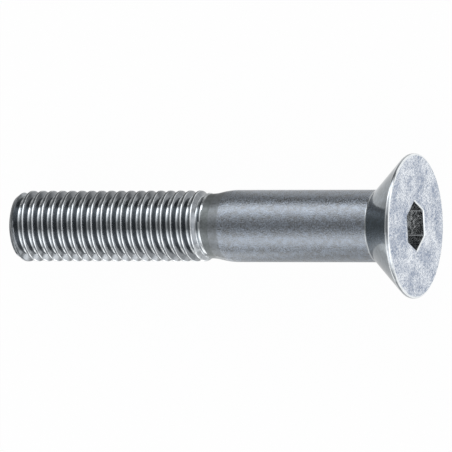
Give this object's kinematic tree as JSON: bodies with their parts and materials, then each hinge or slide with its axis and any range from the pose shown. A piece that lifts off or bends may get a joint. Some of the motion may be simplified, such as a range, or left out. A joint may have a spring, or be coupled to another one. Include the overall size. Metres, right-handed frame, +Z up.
{
  "type": "countersunk socket screw",
  "caption": "Metric countersunk socket screw, 10 mm thread by 60 mm, bright zinc-plated steel, lying on its side.",
  "frame": {"origin": "middle of the head's flat face, at the mouth of the hexagon socket", "axes": "+X from the head towards the thread end, as the screw lies (its own axis dips by 5 degrees towards the thread end); +Z up; +Y completes the frame"},
  "size_m": [0.0605, 0.02, 0.02],
  "materials": {
    "zinc_plate": "bright zinc plating on steel, satin"
  },
  "bodies": {
    "root": {"countersunk_socket_screw": "zinc_plate"}
  },
  "joints": []
}
